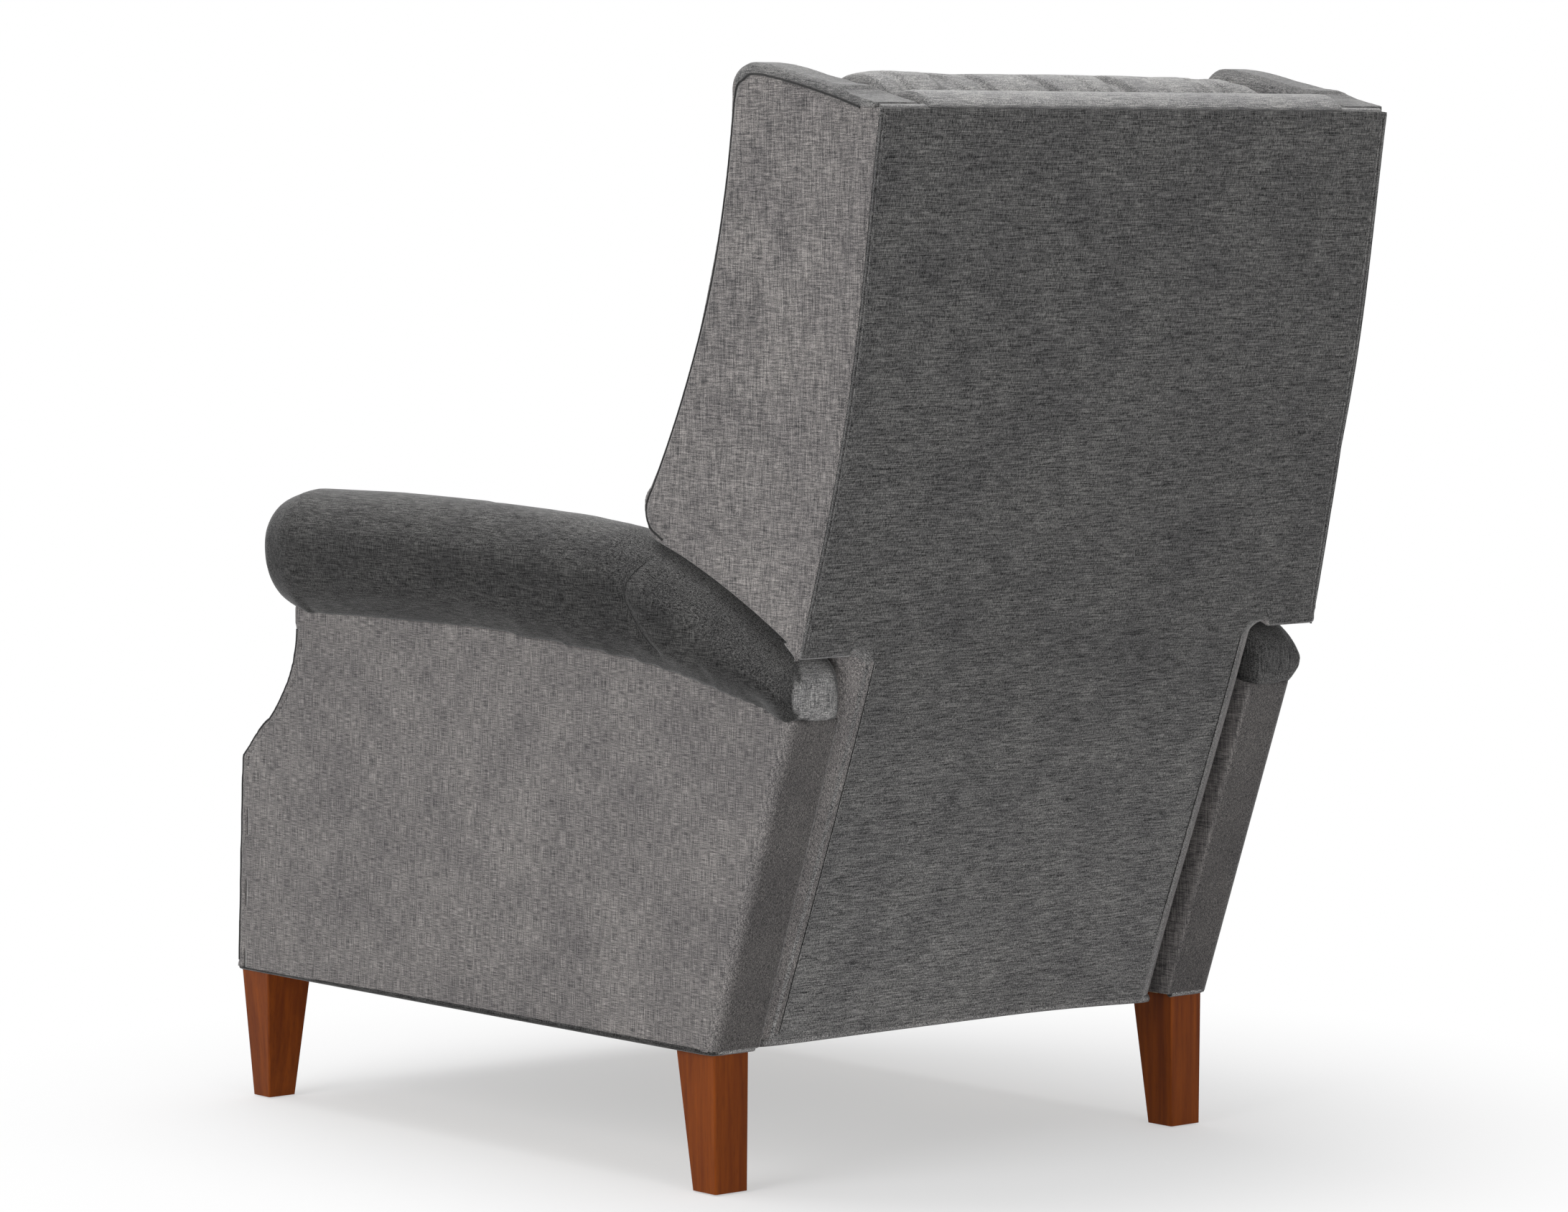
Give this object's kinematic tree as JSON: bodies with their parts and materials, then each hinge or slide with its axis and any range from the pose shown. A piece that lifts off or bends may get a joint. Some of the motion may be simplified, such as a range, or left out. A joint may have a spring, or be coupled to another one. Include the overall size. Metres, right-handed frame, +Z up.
{
  "type": "high leg recliner",
  "caption": "Grey fabric wing recliner on tapered wooden legs, with roll arms, a seat that glides, a reclining back and a fold-out footrest.",
  "frame": {"origin": "on the floor under the middle of the chair's bounding box", "axes": "+Z up, the chair faces -Y, +X is the sitter's left"},
  "size_m": [0.7438, 1.0576, 1.105],
  "materials": {
    "upholstery_fabric": "woven, matt",
    "leg_wood": "stained, satin",
    "frame_wood": "raw, sanded",
    "mechanism_steel": "black coated, satin",
    "bright_steel": "zinc plated",
    "webbing": "woven elastic",
    "glide_plastic": "moulded"
  },
  "bodies": {
    "chair_frame": {"arm_frame_left": "frame_wood", "arm_frame_right": "frame_wood", "arm_outer_panel_left": "upholstery_fabric", "arm_outer_panel_right": "upholstery_fabric", "arm_inner_panel_left": "upholstery_fabric", "arm_inner_panel_right": "upholstery_fabric", "arm_front_panel_left": "upholstery_fabric", "arm_front_panel_right": "upholstery_fabric", "arm_roll_left": "upholstery_fabric", "arm_roll_right": "upholstery_fabric", "leg_front_left": "leg_wood", "leg_front_right": "leg_wood", "leg_rear_left": "leg_wood", "leg_rear_right": "leg_wood", "base_plate_left": "mechanism_steel", "base_plate_right": "mechanism_steel", "stretcher_front": "frame_wood", "stretcher_rear": "frame_wood", "leg_glides": "glide_plastic", "leg_bolts": "bright_steel", "base_plate_screws": "bright_steel", "base_rivets": "bright_steel"},
    "front_swing": {"swing_link_front_left": "mechanism_steel", "swing_link_front_right": "mechanism_steel", "swing_cross_tube": "mechanism_steel"},
    "rear_swing": {"swing_link_rear_left": "mechanism_steel", "swing_link_rear_right": "mechanism_steel"},
    "seat": {"seat_plate_left": "mechanism_steel", "seat_plate_right": "mechanism_steel", "seat_plate_screws": "bright_steel", "seat_rivets": "bright_steel", "seat_frame": "frame_wood", "seat_webbing": "webbing", "seat_cushion": "upholstery_fabric"},
    "back": {"outside_back": "upholstery_fabric", "back_frame": "frame_wood", "back_webbing": "webbing", "back_bracket_left": "mechanism_steel", "back_bracket_right": "mechanism_steel", "wing_board_left": "frame_wood", "wing_board_right": "frame_wood", "wing_pad_left": "upholstery_fabric", "wing_pad_right": "upholstery_fabric", "back_top_roll": "upholstery_fabric", "back_cushion": "upholstery_fabric"},
    "lift_links": {"scissor_lift_link_left": "mechanism_steel", "scissor_lift_link_right": "mechanism_steel", "scissor_cross_tube": "mechanism_steel"},
    "slide_links": {"scissor_slide_link_left": "mechanism_steel", "scissor_slide_link_right": "mechanism_steel", "scissor_slide_rivets": "bright_steel"},
    "stay_links": {"scissor_stay_link_left": "mechanism_steel", "scissor_stay_link_right": "mechanism_steel", "scissor_stay_rivets": "bright_steel"},
    "footrest": {"footrest_link_left": "mechanism_steel", "footrest_link_right": "mechanism_steel", "footrest_board": "frame_wood", "footrest_pad": "upholstery_fabric"}
  },
  "joints": [
    {"name": "back_recline", "type": "hinge", "parent": "seat", "child": "back", "pos_m": [0, 0.25, 0.21], "axis": [-1, 0, 0], "range_deg": [0, 30], "stiffness_Nm_per_rad": 215, "springref_deg": -16.33},
    {"name": "front_swing_turn", "type": "hinge", "parent": "chair_frame", "child": "front_swing", "pos_m": [0, -0.27, 0.205], "axis": [1, 0, 0], "range_deg": [0, 30]},
    {"name": "rear_swing_turn", "type": "hinge", "parent": "chair_frame", "child": "rear_swing", "pos_m": [0, 0.06, 0.205], "axis": [1, 0, 0], "range_deg": [0, 30]},
    {"name": "seat_level", "type": "hinge", "parent": "front_swing", "child": "seat", "pos_m": [0, -0.2213, 0.26847], "axis": [1, 0, 0], "range_deg": [-30, 0]},
    {"name": "footrest_open", "type": "hinge", "parent": "seat", "child": "lift_links", "pos_m": [0, -0.43, 0.372], "axis": [-1, 0, 0], "range_deg": [0, 73.5]},
    {"name": "slide_link_turn", "type": "hinge", "parent": "lift_links", "child": "slide_links", "pos_m": [0, -0.44047, 0.28009], "axis": [-1, 0, 0], "range_deg": [-147, 0]},
    {"name": "stay_link_turn", "type": "hinge", "parent": "lift_links", "child": "stay_links", "pos_m": [0, -0.45094, 0.18819], "axis": [-1, 0, 0], "range_deg": [-147, 0]},
    {"name": "footrest_turn", "type": "hinge", "parent": "slide_links", "child": "footrest", "pos_m": [0, -0.45094, 0.372], "axis": [-1, 0, 0], "range_deg": [0, 147]}
  ],
  "couplings": [
    {"joint": "front_swing_turn", "follows": "back_recline", "ratio": 1},
    {"joint": "rear_swing_turn", "follows": "back_recline", "ratio": 1},
    {"joint": "seat_level", "follows": "back_recline", "ratio": -1},
    {"joint": "slide_link_turn", "follows": "footrest_open", "ratio": -2},
    {"joint": "stay_link_turn", "follows": "footrest_open", "ratio": -2},
    {"joint": "footrest_turn", "follows": "footrest_open", "ratio": 2}
  ]
}
